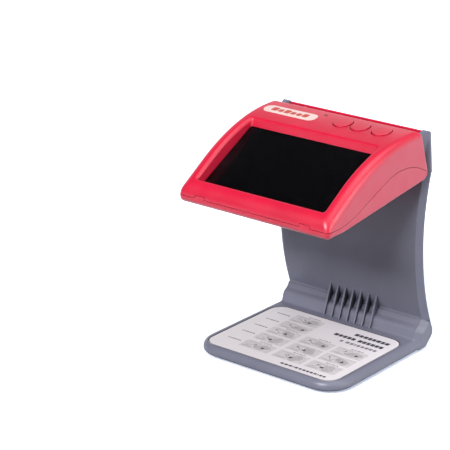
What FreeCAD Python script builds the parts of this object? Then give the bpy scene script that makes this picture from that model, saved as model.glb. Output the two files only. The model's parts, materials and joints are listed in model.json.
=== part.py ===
import FreeCAD, Part
import math
import os

# Counterfeit bill detector: a thin curved column carries a screen head above a flat base, and
# the gap between head and base is the bay where a banknote is held under the camera.
# Millimetres. X runs to the right, Y to the back and Z up. The origin is on the table, below
# the middle of the object. Side outlines are drawn in (y, z), plan outlines in (x, y).

V = FreeCAD.Vector
X_AXIS = V(1, 0, 0)
Y_AXIS = V(0, 1, 0)
Z_AXIS = V(0, 0, 1)

# ---- Driving dimensions ----
STAND_HALF_WIDTH = 57.0
BASE_FRONT_Y = -48.5
BASE_BACK_Y = 54.0
BASE_BOTTOM_Z = 1.8
BASE_TOP_Z = 8.4
BASE_FRONT_CORNER = 18.0
BASE_REAR_CORNER = 4.5
BASE_TOP_EDGE_RADIUS = 4.2
BASE_LOW_EDGE_RADIUS = 1.7
STAND_WALL = 2.0
STEP_SIDE = [(40.2, BASE_BOTTOM_Z), (40.2, BASE_TOP_Z), (41.9, BASE_TOP_Z), (43.9, 15.2), (47.4, 17.1),
             (49.4, 20.1), (54.8, 22.8), (59.3, 9.2), (51.3, BASE_BOTTOM_Z)]
STEP_SIDE_RADII = [0, 0, 2.2, 5.0, 1.6, 1.2, 0, 4.0, 3.0]
STEP_END = [(44.0, BASE_BOTTOM_Z), (44.0, 4.0), (46.2, 5.2), (48.1, 12.4), (51.4, 14.5),
            (53.6, 17.2), (56.2, 18.2), (59.3, 9.2), (51.3, BASE_BOTTOM_Z)]
STEP_END_RADII = [0, 0, 1.4, 3.0, 1.2, 1.0, 0, 3.4, 3.0]
BOTTOM_PLATE_Z = (1.3, 3.0)

# The column is bent round a level axis behind it: radii are measured from that axis.
BEND_Y = 200.0
BEND_Z = 77.5
COLUMN_REAR_R = 155.0
COLUMN_FRONT_R = 159.8
COLUMN_FRONT_HALF_WIDTH = 53.7
COLUMN_FRONT_WALL = 1.5
COVER_THICKNESS = 1.6
COVER_FOOT_Z = 12.2
COLUMN_TOP_ANGLE = 16.4
COLUMN_EDGE_RADIUS = 0.9

# The pod holds the head: two side cheeks, a wall that the head is screwed to and a rear panel.
POD_TOP_Z = 149.4
VENT_PANEL_TOP_Z = 148.3
POD_REAR_TOP_Y = 48.2
CHEEK_INNER_X = 52.5
CHEEK_HEAD_GAP = 1.05
CHEEK_FRONT_X = 54.6
CHEEK_REAR_RADIUS = 2.6
CHEEK_FRONT_RADIUS = 5.0
HEAD_WALL_TOP_S = 23.5
HEAD_WALL_THICKNESS = 2.0
HEAD_WALL_GAP = 0.15

# Label on the base and the fins at the foot of the column.
LABEL_HALF_WIDTH = 52.0
LABEL_FRONT_Y = -44.8
LABEL_BACK_Y = 36.2
LABEL_CORNER = 10.0
LABEL_RECESS = 0.65
LABEL_THICKNESS = 0.45
LABEL_GAP = 0.3
FIN_COUNT = 7
FIN_PITCH = 6.2
FIN_FIRST_X = -17.2
FIN_THICKNESS = 1.2

# Head: outline of its side, radius at each corner, and the radius along its side edges.
HEAD_HALF_WIDTH = 58.2
HEAD_WALL = 2.0
HEAD_OUTLINE = [(-60.0, 105.96), (46.35, 119.6), (36.16, 151.9), (-7.94, 151.01), (-60.0, 116.94)]
HEAD_RADII = [4.0, 5.0, 5.5, 128.7, 11.0]
HEAD_SIDE_WALL_SHARE = 1.6
HEAD_HUMP_EDGE_RADIUS = 6.5
HEAD_TOP_EDGE_RADIUS = 4.6
HEAD_LIP_EDGE_RADIUS = 3.4
HEAD_REAR_EDGE_RADIUS = 1.3
HEAD_LOW_EDGE_RADIUS = 1.2
SEAM_OUTLINE = [(-75.0, 111.5), (-40.4, 111.9), (18.8, 136.6), (60.0, 116.0), (60.0, 175.0), (-75.0, 175.0)]
SEAM_RADII = [0, 60.0, 46.0, 0, 0, 0]
SEAM_GAP = 0.3
SNAP_LEFT_X = (-44.5, -37.0)
SNAP_RIGHT_X = (36.7, 44.2)
SNAP_TOP_Z = 113.3

# Screen: centre of the glass, its slope, and the size of the opening.
SCREEN_Y = -23.6
SCREEN_Z = 129.25
SCREEN_TILT = 28.54
SCREEN_HALF_WIDTH = 49.0
SCREEN_HALF_LENGTH = 28.6
SCREEN_RIM_RADIUS = 2.5
WELL_WALL = 1.8
GLASS_THICKNESS = 1.0

# Controls on the top of the head.
BUTTON_X = {"left": 9.1, "middle": 22.3, "right": 38.4}
BUTTON_Y = 21.3
BUTTON_HALF_X = 5.85
BUTTON_HALF_Y = 7.0
BUTTON_GAP = 0.5
BUTTON_FOOT_Z = 147.0
BUTTON_PROUD = 0.7
BADGE_X = (-50.7, -10.3)
BADGE_Y = (13.6, 23.9)
BADGE_CORNER = 4.4
STATUS_LIGHT_X = -8.8
STATUS_LIGHT_Y = 27.2
STATUS_LIGHT_R = 1.05
ABOVE_HEAD_Z = 160.0

# Floor frame of the head: optics and boards lie parallel to its underside.
FLOOR_RISE = HEAD_OUTLINE[1][1] - HEAD_OUTLINE[0][1]
FLOOR_RUN = HEAD_OUTLINE[1][0] - HEAD_OUTLINE[0][0]
FLOOR_SLOPE = math.degrees(math.atan2(FLOOR_RISE, FLOOR_RUN))
LAMP_U = 70.0
LAMP_HALF_X = 27.0
LAMP_HALF_U = 16.0
MAIN_BOARD_W = 19.0
BOARD_THICKNESS = 1.4

# Fasteners: a shank is a little thinner than the hole it is driven into.
SCREW_FIT = 0.05


# ---- Drawing helpers ----
def unit(a, b):
    length = math.hypot(b[0] - a[0], b[1] - a[1])
    return (b[0] - a[0]) / length, (b[1] - a[1]) / length


def rounded_edges(points, radii, place):
    """Edges of a closed outline, with an arc of the given radius at each corner."""
    corners = []
    for i, point in enumerate(points):
        if radii[i] <= 0:
            corners.append((point, point, point))
            continue
        back = unit(point, points[i - 1])
        ahead = unit(point, points[(i + 1) % len(points)])
        half = math.acos(max(-1.0, min(1.0, back[0] * ahead[0] + back[1] * ahead[1]))) / 2
        reach = radii[i] / math.tan(half)
        middle = (back[0] + ahead[0], back[1] + ahead[1])
        scale = (radii[i] / math.sin(half) - radii[i]) / math.hypot(*middle)
        start = (point[0] + back[0] * reach, point[1] + back[1] * reach)
        top = (point[0] + middle[0] * scale, point[1] + middle[1] * scale)
        end = (point[0] + ahead[0] * reach, point[1] + ahead[1] * reach)
        corners.append((start, top, end))
    edges = []
    for i, (start, top, end) in enumerate(corners):
        following = corners[(i + 1) % len(corners)][0]
        if start != end:
            edges.append(Part.Arc(place(*start), place(*top), place(*end)).toShape())
        if math.hypot(following[0] - end[0], following[1] - end[1]) > 1e-6:
            edges.append(Part.makeLine(place(*end), place(*following)))
    return edges


def rounded_face(points, radii, place):
    if not isinstance(radii, (list, tuple)):
        radii = [radii] * len(points)
    return Part.Face(Part.Wire(rounded_edges(points, radii, place)))


def prism(points, radii, x0, x1):
    """A side outline in (y, z), pulled from x0 to x1."""
    return rounded_face(points, radii, lambda y, z: V(x0, y, z)).extrude(V(x1 - x0, 0, 0))


def plate(x0, x1, y0, y1, z0, z1, front_radius=0, rear_radius=None):
    """A rectangle in plan with rounded corners, pulled from z0 to z1."""
    rear = front_radius if rear_radius is None else rear_radius
    corners = [(x0, y0), (x1, y0), (x1, y1), (x0, y1)]
    radii = [front_radius, front_radius, rear, rear]
    return rounded_face(corners, radii, lambda x, y: V(x, y, z0)).extrude(V(0, 0, z1 - z0))


def rod(radius, x, y, z0, z1):
    return Part.makeCylinder(radius, z1 - z0, V(x, y, z0))


def ellipse_rod(half_x, half_y, x, y, z0, z1):
    centre = V(x, y, z0)
    curve = Part.Ellipse(centre + V(0, half_y, 0), centre + V(half_x, 0, 0), centre)
    return Part.Face(Part.Wire(curve.toShape())).extrude(V(0, 0, z1 - z0))


def moved(shape, x=0.0, y=0.0, z=0.0):
    copy = shape.copy()
    copy.translate(V(x, y, z))
    return copy


def mirrored(shape):
    return shape.mirror(V(0, 0, 0), X_AXIS)


def joined(shapes):
    return shapes[0].fuse(shapes[1:]).removeSplitter()


def grouped(shapes):
    return Part.makeCompound(shapes)


def inset(points, distance):
    """The outline moved inwards by a distance, its corners kept sharp."""
    area = sum(points[i - 1][0] * p[1] - p[0] * points[i - 1][1] for i, p in enumerate(points))
    side = 1 if area > 0 else -1
    result = []
    for i, point in enumerate(points):
        u = unit(points[i - 1], point)
        w = unit(point, points[(i + 1) % len(points)])
        p = (points[i - 1][0] - u[1] * side * distance, points[i - 1][1] + u[0] * side * distance)
        q = (point[0] - w[1] * side * distance, point[1] + w[0] * side * distance)
        t = ((q[0] - p[0]) * -w[1] + (q[1] - p[1]) * w[0]) / (u[1] * w[0] - u[0] * w[1])
        result.append((p[0] + u[0] * t, p[1] + u[1] * t))
    return result


def strip(points, thickness, x0, x1):
    """A flat flexible strip that follows a line in (y, z)."""
    upper = []
    lower = []
    for i, point in enumerate(points):
        a = points[max(i - 1, 0)]
        b = points[min(i + 1, len(points) - 1)]
        d = unit(a, b)
        upper.append((point[0] - d[1] * thickness / 2, point[1] + d[0] * thickness / 2))
        lower.append((point[0] + d[1] * thickness / 2, point[1] - d[0] * thickness / 2))
    return prism(upper + lower[::-1], 0, x0, x1)


# ---- Frames: each puts a shape drawn flat at its place on a sloping surface ----
def tilted(shape, y, z, angle):
    placed = shape.copy()
    slope = FreeCAD.Placement(V(0, y, z), FreeCAD.Rotation(X_AXIS, angle))
    placed.Placement = slope.multiply(shape.Placement)
    return placed


def on_floor(shape):
    """Drawn with y along the head's underside from its front, and z up from it."""
    return tilted(shape, HEAD_OUTLINE[0][0], HEAD_OUTLINE[0][1], FLOOR_SLOPE)


def on_screen(shape):
    """Drawn with y up the screen from its centre, and z out of it."""
    return tilted(shape, SCREEN_Y, SCREEN_Z, SCREEN_TILT)


def on_back(shape):
    """Drawn with y down the head's back, from -s at s above its lower corner, and z out of it."""
    foot, top = HEAD_OUTLINE[1], HEAD_OUTLINE[2]
    angle = -math.degrees(math.atan2(top[1] - foot[1], foot[0] - top[0]))
    return tilted(shape, foot[0], foot[1], angle)


def bend_angle(z, radius):
    return math.degrees(math.asin((z - BEND_Z) / radius))


def on_bend(radius, angle):
    """Point (y, z) on the bend at a radius and an angle above the level through its axis."""
    return BEND_Y - radius * math.cos(math.radians(angle)), BEND_Z + radius * math.sin(math.radians(angle))


def bent(points, radii, low_angle, high_angle):
    """A plan section in (x, radius), swept round the bend from one angle to another."""
    face = rounded_face(points, radii, lambda x, r: V(x, BEND_Y - r, BEND_Z))
    face.rotate(V(0, BEND_Y, BEND_Z), X_AXIS, -low_angle)
    return face.revolve(V(0, BEND_Y, BEND_Z), X_AXIS, -(high_angle - low_angle))


def bend_radial(shape, x, angle):
    """Drawn with z from the bend's axis outwards, placed at x and an angle on the column."""
    placed = moved(shape, x, 0, 0)
    placed.rotate(V(0, 0, 0), X_AXIS, 90 - angle)
    placed.translate(V(0, BEND_Y, BEND_Z))
    return placed


def back_line_y(z):
    foot, top = HEAD_OUTLINE[1], HEAD_OUTLINE[2]
    return foot[0] + (z - foot[1]) * (top[0] - foot[0]) / (top[1] - foot[1])


def pod_rear_y(z):
    foot_y, foot_z = on_bend(COLUMN_REAR_R, COLUMN_TOP_ANGLE)
    return foot_y + (z - foot_z) * (POD_REAR_TOP_Y - foot_y) / (POD_TOP_Z - foot_z)


# ---- Fasteners ----
def screw(shank_radius, head_radius, head_height, length):
    """Pan-head screw: its head stands on z = 0 and its shank runs down."""
    head = Part.makeCylinder(head_radius, head_height)
    half_length = head_radius * 0.65
    half_width = 0.3
    depth = head_height / 2
    corner = V(-half_length, -half_width, head_height - depth)
    slot = Part.makeBox(2 * half_length, 2 * half_width, depth, corner)
    cross = slot.copy()
    cross.rotate(V(0, 0, 0), Z_AXIS, 90)
    shank = Part.makeCylinder(shank_radius - SCREW_FIT, length, V(0, 0, -length))
    head = head.makeFillet(head_height * 0.4, [head.Edges[0]])
    return joined([head.cut(slot).cut(cross), shank])


def pointing_down(shape):
    turned = shape.copy()
    turned.rotate(V(0, 0, 0), X_AXIS, 180)
    return turned


# ---- Stand ----
BASE_SCREW_PLACES = [(x, y) for x in (-46.0, 46.0) for y in (-35.0, 2.0, 38.0)]
BASE_SCREW_R = 1.3
FOOT_PLACES = [(x, y) for x in (-45.0, 45.0) for y in (-25.0, 26.0)]
FOOT_RADIUS = 5.5
FOOT_TOP_Z = 2.1
COVER_SCREW_PLACES = [(x, angle) for x in (-44.0, 44.0) for angle in (-13.0, 11.0)]
COVER_SCREW_R = 1.1
COVER_SINK = 0.8
COVER_SEAT_R = COLUMN_REAR_R + COVER_THICKNESS
CHANNEL_FRONT_R = COLUMN_FRONT_R - COLUMN_FRONT_WALL
JACK_Z = 7.6
JACK_NOSE_R = 4.0
JACK_HALF_X = 4.6
HEAD_SCREW_X = (-42.0, -22.0, 22.0, 42.0)
HEAD_SCREW_S = 14.0
HEAD_SCREW_R = 1.4
WIRE_PORT_S = (10.5, 15.0)
WIRE_PORT_HALF_X = 5.0


def loft(low_face, high_face):
    return Part.makeLoft([low_face.OuterWire, high_face.OuterWire], True, True)


def base_slab():
    slab = plate(-STAND_HALF_WIDTH, STAND_HALF_WIDTH, BASE_FRONT_Y, BASE_BACK_Y, BASE_BOTTOM_Z, BASE_TOP_Z,
                 BASE_FRONT_CORNER, BASE_REAR_CORNER)
    top_rim = [e for e in slab.Edges if e.BoundBox.ZMin > BASE_TOP_Z - 0.01]
    slab = slab.makeFillet(BASE_TOP_EDGE_RADIUS, top_rim)
    low_rim = [e for e in slab.Edges if e.BoundBox.ZMax < BASE_BOTTOM_Z + 0.01]
    return slab.makeFillet(BASE_LOW_EDGE_RADIUS, low_rim)


def rear_step():
    """Step behind the note bay: full height between the column's edges, with bevelled ends."""
    inner = COLUMN_FRONT_HALF_WIDTH
    middle = prism(STEP_SIDE, STEP_SIDE_RADII, -inner, inner)
    root = rounded_face(STEP_SIDE, STEP_SIDE_RADII, lambda y, z: V(inner, y, z))
    tip = rounded_face(STEP_END, STEP_END_RADII, lambda y, z: V(STAND_HALF_WIDTH, y, z))
    bevel = loft(root, tip)
    return joined([middle, bevel, mirrored(bevel)])


def base_cavity():
    rim = 3.0
    half = STAND_HALF_WIDTH - rim
    rear = 49.8
    below = -1.0
    roof = BASE_TOP_Z - STAND_WALL
    low = plate(-half, half, BASE_FRONT_Y + rim, rear, below, roof, BASE_FRONT_CORNER - rim, 1.5)
    outline = inset(STEP_SIDE[2:], STAND_WALL)
    outline[0] = (outline[0][0], below)
    outline[-1] = (rear, 4.4)
    outline.append((rear, below))
    step_half = COLUMN_FRONT_HALF_WIDTH - 2.2
    return joined([low, prism(outline, 0, -step_half, step_half)])


def column_channel():
    """Front of the column: a shallow channel whose open side the rear cover closes."""
    low_angle = bend_angle(18.5, COLUMN_FRONT_R)
    rear = STAND_HALF_WIDTH
    front = COLUMN_FRONT_HALF_WIDTH
    outline = [(-rear, COVER_SEAT_R), (rear, COVER_SEAT_R),
               (front, COLUMN_FRONT_R), (-front, COLUMN_FRONT_R)]
    return bent(outline, [0, 0, COLUMN_EDGE_RADIUS, COLUMN_EDGE_RADIUS], low_angle, COLUMN_TOP_ANGLE)


def channel_space():
    half = COLUMN_FRONT_HALF_WIDTH - 2.4
    open_r = COVER_SEAT_R - 1
    outline = [(-half, open_r), (half, open_r), (half, CHANNEL_FRONT_R), (-half, CHANNEL_FRONT_R)]
    return bent(outline, 0, bend_angle(15.5, CHANNEL_FRONT_R), COLUMN_TOP_ANGLE + 1)


def cover_space():
    """Room for the rear cover, down to its foot."""
    outline = [(-60, 150), (60, 150), (60, COVER_SEAT_R), (-60, COVER_SEAT_R)]
    return bent(outline, 0, bend_angle(COVER_FOOT_Z, COLUMN_REAR_R), COLUMN_TOP_ANGLE)


def splay_point(rear, front):
    """Point on the line from the straight rear band to the front edge, carried on past that edge."""
    reach = 1.4
    return V(*[a + (b - a) * reach for a, b in zip(rear, front)])


def wedge(low_ring, high_ring):
    """Solid between two rings of three points, with flat three-cornered faces."""
    corners = [low_ring, high_ring[::-1]]
    for i in range(3):
        j = (i + 1) % 3
        corners.append([low_ring[i], high_ring[i], low_ring[j]])
        corners.append([low_ring[j], high_ring[i], high_ring[j]])
    faces = [Part.Face(Part.makePolygon(list(ring) + [ring[0]])) for ring in corners]
    return Part.Solid(Part.Shell(faces))


def cheek():
    """Right side cheek of the pod: a straight band at the rear, then splayed like the column's side."""
    rear_foot = on_bend(COLUMN_REAR_R, COLUMN_TOP_ANGLE)
    seat_foot = on_bend(COVER_SEAT_R, COLUMN_TOP_ANGLE)
    front_foot = on_bend(COLUMN_FRONT_R, COLUMN_TOP_ANGLE)
    top_z = POD_TOP_Z
    front_top = (back_line_y(top_z) + CHEEK_HEAD_GAP, top_z)
    outline = [rear_foot, (pod_rear_y(top_z), top_z), front_top, front_foot]
    radii = [0, CHEEK_REAR_RADIUS, CHEEK_FRONT_RADIUS, 0]
    block = prism(outline, radii, CHEEK_INNER_X, STAND_HALF_WIDTH)
    outer = STAND_HALF_WIDTH
    low = splay_point((outer, *seat_foot), (COLUMN_FRONT_HALF_WIDTH, *front_foot))
    seat_top = (pod_rear_y(top_z) - COVER_THICKNESS, top_z)
    high = splay_point((outer, *seat_top), (CHEEK_FRONT_X, *front_top))
    low_ring = [V(outer, *seat_foot), low, V(outer + 3, low.y, low.z)]
    high_ring = [V(outer, *seat_top), high, V(outer + 3, high.y, high.z)]
    return block.cut(wedge(low_ring, high_ring))


def head_wall():
    """Wall between the cheeks that the back of the head is screwed to."""
    far = HEAD_WALL_GAP + HEAD_WALL_THICKNESS
    return on_back(plate(-CHEEK_INNER_X, CHEEK_INNER_X, -HEAD_WALL_TOP_S, 1.6, HEAD_WALL_GAP, far))


def fin(x):
    top = (on_bend(COLUMN_FRONT_R, bend_angle(29.5, COLUMN_FRONT_R))[0], 29.5)
    toe = (39.8, BASE_TOP_Z - 0.2)
    middle = (43.2, 17.3)
    corner = (51.5, BASE_TOP_Z - 0.2)
    back = (51.5, 24.0)
    edges = [Part.Arc(V(x, *top), V(x, *middle), V(x, *toe)).toShape()]
    edges += [Part.makeLine(V(x, *a), V(x, *b)) for a, b in ((toe, corner), (corner, back), (back, top))]
    return Part.Face(Part.Wire(edges)).extrude(V(FIN_THICKNESS, 0, 0))


def crease_cove():
    """Small hollow fillet where the step's tread meets the column."""
    low = (49.1, 19.45)
    high_z = 22.8
    high = (on_bend(COLUMN_FRONT_R, bend_angle(high_z, COLUMN_FRONT_R))[0], high_z)
    middle = (50.15, 20.75)
    inside = (52.0, 20.9)
    half = COLUMN_FRONT_HALF_WIDTH - 0.6
    edges = [Part.Arc(V(-half, *low), V(-half, *middle), V(-half, *high)).toShape()]
    edges += [Part.makeLine(V(-half, *a), V(-half, *b)) for a, b in ((high, inside), (inside, low))]
    return Part.Face(Part.Wire(edges)).extrude(V(2 * half, 0, 0))


def wire_port(low):
    """Opening in the head's back for the power lead, from a depth inside the head."""
    first, last = WIRE_PORT_S
    return on_back(plate(-WIRE_PORT_HALF_X, WIRE_PORT_HALF_X, -last, -first, low, 4, 1))


def stand_shell():
    fins = [fin(FIN_FIRST_X + i * FIN_PITCH - FIN_THICKNESS / 2) for i in range(FIN_COUNT)]
    right_cheek = cheek()
    body = joined([base_slab(), rear_step().cut(cover_space()), column_channel(), crease_cove(),
                   right_cheek, mirrored(right_cheek), head_wall()] + fins)
    body = body.cut(base_cavity()).cut(channel_space())
    low = BOTTOM_PLATE_Z[1] + 0.05
    bosses = [rod(3.2, x, y, low, BASE_TOP_Z - 1.0) for x, y in BASE_SCREW_PLACES]
    seat = rod(3.0, 0, 0, COVER_SEAT_R, CHANNEL_FRONT_R + 0.5)
    seats = [bend_radial(seat, x, a) for x, a in COVER_SCREW_PLACES]
    body = joined([body] + bosses + seats)
    label = plate(-LABEL_HALF_WIDTH, LABEL_HALF_WIDTH, LABEL_FRONT_Y, LABEL_BACK_Y,
                  BASE_TOP_Z - LABEL_RECESS, BASE_TOP_Z + 5, LABEL_CORNER)
    holes = [rod(BASE_SCREW_R, x, y, 2, BASE_TOP_Z - 1.2) for x, y in BASE_SCREW_PLACES]
    pilot = rod(COVER_SCREW_R, 0, 0, 150, CHANNEL_FRONT_R + 0.6)
    holes += [bend_radial(pilot, x, a) for x, a in COVER_SCREW_PLACES]
    holes += [on_back(rod(HEAD_SCREW_R + 0.3, x, -HEAD_SCREW_S, -1, 4)) for x in HEAD_SCREW_X]
    holes.append(wire_port(-1))
    holes.append(Part.makeCylinder(JACK_NOSE_R + 0.2, 9, V(0, 53, JACK_Z), Y_AXIS))
    holes.append(plate(-JACK_HALF_X - 0.2, JACK_HALF_X + 0.2, 46.2, 55.5, -1, 12.3, 0.4))
    return body.cut([label] + holes)


def column_rear_cover():
    low_angle = bend_angle(COVER_FOOT_Z + 0.2, COLUMN_REAR_R)
    outer = STAND_HALF_WIDTH
    inner_r = COVER_SEAT_R - 0.05
    outline = [(-outer, inner_r), (outer, inner_r), (outer, COLUMN_REAR_R), (-outer, COLUMN_REAR_R)]
    cover = bent(outline, [0, 0, COLUMN_EDGE_RADIUS, COLUMN_EDGE_RADIUS], low_angle, COLUMN_TOP_ANGLE)
    sink = rod(2.3, 0, 0, 150, COLUMN_REAR_R + COVER_SINK)
    bore = rod(COVER_SCREW_R + 0.2, 0, 0, 150, 160)
    holes = [bend_radial(sink, x, a) for x, a in COVER_SCREW_PLACES]
    holes += [bend_radial(bore, x, a) for x, a in COVER_SCREW_PLACES]
    return cover.cut(holes)


def cover_screws():
    places = []
    for x, angle in COVER_SCREW_PLACES:
        part = pointing_down(screw(COVER_SCREW_R, 2.1, 0.75, 3.0))
        places.append(bend_radial(moved(part, 0, 0, COLUMN_REAR_R + COVER_SINK - 0.02), x, angle))
    return grouped(places)


def rear_vent_panel():
    """Rear wall of the pod, with ribs that cross the vent slot behind the head."""
    foot_z = on_bend(COLUMN_REAR_R, COLUMN_TOP_ANGLE)[1] + 0.3
    top_z = VENT_PANEL_TOP_Z
    thick = 2.0
    lip = 1.4
    outline = [(pod_rear_y(foot_z), foot_z), (pod_rear_y(top_z), top_z),
               (pod_rear_y(top_z) - lip, top_z), (pod_rear_y(foot_z) - thick, foot_z + 0.7)]
    half = CHEEK_INNER_X - 0.25
    panel = prism(outline, [0, 0.5, 0.5, 0], -half, half)
    rib_foot_z = top_z - 5.0
    rib_top_z = top_z - 1.0
    rib = [(pod_rear_y(rib_foot_z) - 1, rib_foot_z), (pod_rear_y(rib_top_z) - 1, rib_top_z),
           (back_line_y(rib_top_z) + 0.7, rib_top_z), (back_line_y(rib_foot_z) + 0.7, rib_foot_z)]
    ribs = [prism(rib, 0, x - 0.8, x + 0.8) for x in (-39.6, -11.6, 11.6, 39.6)]
    return joined([panel] + ribs)


def base_bottom_plate():
    low, high = BOTTOM_PLATE_Z
    half = 53.7
    body = plate(-half, half, BASE_FRONT_Y + 3.3, 49.5, low, high, BASE_FRONT_CORNER - 3.3, 1.5)
    cuts = [rod(FOOT_RADIUS + 0.1, x, y, 0, FOOT_TOP_Z + 0.05) for x, y in FOOT_PLACES]
    cuts += [rod(BASE_SCREW_R + 0.3, x, y, 0, 4) for x, y in BASE_SCREW_PLACES]
    cuts += [rod(3.0, x, y, 0, low + 1.0) for x, y in BASE_SCREW_PLACES]
    vents = [plate(x - 8, x + 8, y - 1, y + 1, 0, 4, 0.9) for x in (-14, 14) for y in (-12, -6, 0, 6, 12)]
    return body.cut(cuts + vents)


def rubber_feet():
    feet = []
    for x, y in FOOT_PLACES:
        foot = rod(FOOT_RADIUS, x, y, 0, FOOT_TOP_Z)
        low_rim = [e for e in foot.Edges if e.BoundBox.ZMax < 0.01]
        feet.append(foot.makeFillet(0.6, low_rim))
    return grouped(feet)


def base_screws():
    part = pointing_down(screw(BASE_SCREW_R, 2.6, 0.9, 4.4))
    return grouped([moved(part, x, y, BOTTOM_PLATE_Z[0] + 0.98) for x, y in BASE_SCREW_PLACES])


def note_guide_label():
    gap = LABEL_GAP
    top = BASE_TOP_Z - LABEL_RECESS
    return plate(-LABEL_HALF_WIDTH + gap, LABEL_HALF_WIDTH - gap, LABEL_FRONT_Y + gap, LABEL_BACK_Y - gap,
                 top, top + LABEL_THICKNESS, LABEL_CORNER - gap)


def dc_jack_body():
    body = plate(-JACK_HALF_X, JACK_HALF_X, 46.4, 55.2, BOTTOM_PLATE_Z[1] + 0.1, 12.0, 0.4)
    nose = Part.makeCylinder(JACK_NOSE_R, 3.9, V(0, 54.8, JACK_Z), Y_AXIS)
    bore = Part.makeCylinder(2.75, 9.7, V(0, 49.1, JACK_Z), Y_AXIS)
    return joined([body, nose]).cut(bore)


def dc_jack_pin():
    pin = Part.makeCylinder(1.0, 8.2, V(0, 49.1, JACK_Z), Y_AXIS)
    return pin.makeFillet(0.4, [pin.Edges[0]])


def power_lead():
    """Flat two-wire lead inside the column, from the inlet up to the main board."""
    thick = 0.9
    half = 3.0
    middle_r = (COVER_SEAT_R + CHANNEL_FRONT_R) / 2 + 0.15
    low_angle = bend_angle(20.0, middle_r)
    near = middle_r - thick / 2
    far = middle_r + thick / 2
    run = bent([(-half, near), (half, near), (half, far), (-half, far)], 0, low_angle, COLUMN_TOP_ANGLE)
    foot = strip([(51.5, 12.15), (52.2, 15.5), on_bend(middle_r, low_angle)], thick, -half, half)
    port = [(46.9, 128.0), (45.6, 131.1), (41.5, 131.6)]
    inside = [(38.6, 133.2), (36.4, 136.2)]
    top = strip([on_bend(middle_r, COLUMN_TOP_ANGLE)] + port + inside, thick, -half, half)
    return joined([run, foot, top])


# ---- Head shells ----
def head_solid(gap):
    """The head's outer shape, or the same shape moved in by a gap on all sides."""
    radii = [max(r - gap, 0.5) for r in HEAD_RADII]
    outline = inset(HEAD_OUTLINE, gap) if gap else HEAD_OUTLINE
    half = HEAD_HALF_WIDTH - HEAD_SIDE_WALL_SHARE * gap
    return prism(outline, radii, -half, half)


def side_edge_radius(y, z):
    """Rounding of the head's side edge at a corner of the side outline."""
    if y > 36:
        return HEAD_REAR_EDGE_RADIUS
    if z > 150:
        return HEAD_TOP_EDGE_RADIUS
    if z > 118:
        return HEAD_HUMP_EDGE_RADIUS
    return HEAD_LIP_EDGE_RADIUS


def head_hull():
    """Outer shape with rounded side edges, crisper along the straight underside."""
    front, rear = HEAD_OUTLINE[0], HEAD_OUTLINE[1]
    slope = (rear[1] - front[1]) / (rear[0] - front[0])
    low = [(y, front[1] + slope * (y - front[0])) for y in (-42.0, 30.0)]
    outline = [front] + low + HEAD_OUTLINE[1:]
    radii = [HEAD_RADII[0], 0, 0] + HEAD_RADII[1:]
    block = prism(outline, radii, -HEAD_HALF_WIDTH, HEAD_HALF_WIDTH)
    wanted = []
    for number, edge in enumerate(block.Edges, 1):
        if edge.BoundBox.XLength > 1e-6:
            continue
        ends = [edge.valueAt(edge.FirstParameter), edge.valueAt(edge.LastParameter)]
        sizes = []
        for end in ends:
            is_low = any(math.hypot(end.y - y, end.z - z) < 0.01 for y, z in low)
            sizes.append(HEAD_LOW_EDGE_RADIUS if is_low else side_edge_radius(end.y, end.z))
        wanted.append((number, sizes[0], sizes[1]))
    document = FreeCAD.newDocument("head")
    source = document.addObject("Part::Feature", "block")
    source.Shape = block
    rounded = document.addObject("Part::Fillet", "rounded")
    rounded.Base = source
    rounded.Edges = wanted
    document.recompute()
    return rounded.Shape.copy()


def screen_opening(grow):
    """Space above the screen: square sides and front, and a back wall that slants away."""
    half_u = SCREEN_HALF_LENGTH + grow
    height = 20.0
    back_slant = 3.8 / 4.9
    outline = [(-half_u, 0), (half_u, 0), (half_u + back_slant * height, height), (-half_u, height)]
    half_x = SCREEN_HALF_WIDTH + grow
    block = prism(outline, 0, -half_x, half_x)
    upright = [e for e in block.Edges if e.BoundBox.XLength < 1e-6 and e.BoundBox.ZLength > 1]
    return on_screen(block.makeFillet(1.5, upright))


def head_body():
    """Outer shape with the screen's recess and its rounded rim."""
    body = head_hull().cut(screen_opening(0))
    rim = []
    tilt = math.radians(SCREEN_TILT)
    for edge in body.Edges:
        box = edge.BoundBox
        inside = abs(box.XMin) < SCREEN_HALF_WIDTH + 0.1 and abs(box.XMax) < SCREEN_HALF_WIDTH + 0.1
        middle = edge.valueAt((edge.FirstParameter + edge.LastParameter) / 2)
        local_y = middle.y - SCREEN_Y
        local_z = middle.z - SCREEN_Z
        height = local_z * math.cos(tilt) - local_y * math.sin(tilt)
        along = local_y * math.cos(tilt) + local_z * math.sin(tilt)
        on_well = abs(abs(middle.x) - SCREEN_HALF_WIDTH) < 1.5 or abs(along) > SCREEN_HALF_LENGTH - 0.5
        slope = math.degrees(math.atan2(box.ZLength, box.YLength))
        flat = box.XLength > 1e-6 or abs(slope - SCREEN_TILT) < 25
        if inside and on_well and flat and height > 3.5 and box.YMax < 12:
            rim.append(edge)
    return body.makeFillet(SCREEN_RIM_RADIUS, rim)


SHELL_SCREW_X = (-49.2, 49.2)
SHELL_POST_R = 3.6
SHELL_SCREW_U = 88.0
SHELL_JOINT_W = 12.0
SHELL_SINK_W = 5.0
SHELL_SCREW_R = 1.5
BOARD_POSTS = [(x, u) for x in (-40.0, 40.0) for u in (78.0, 94.0)]
LED_POSTS = [(x, u) for x in (-33.0, 33.0) for u in (LAMP_U - 14.0, LAMP_U + 14.0)]
LED_BOARD_W = 8.0
SMALL_SCREW_R = 1.0
CONTROL_BOARD_Z = 141.2
CONTROL_BOARD_TOP = 142.4
CONTROL_POSTS = [(-5.0, 16.0), (-5.0, 30.0), (30.4, 12.6), (30.4, 31.8)]


def seam_zone(rise):
    return moved(prism(SEAM_OUTLINE, SEAM_RADII, -70, 70), 0, 0, rise)


def seam_band(height):
    return seam_zone(0).cut(seam_zone(height))


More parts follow.
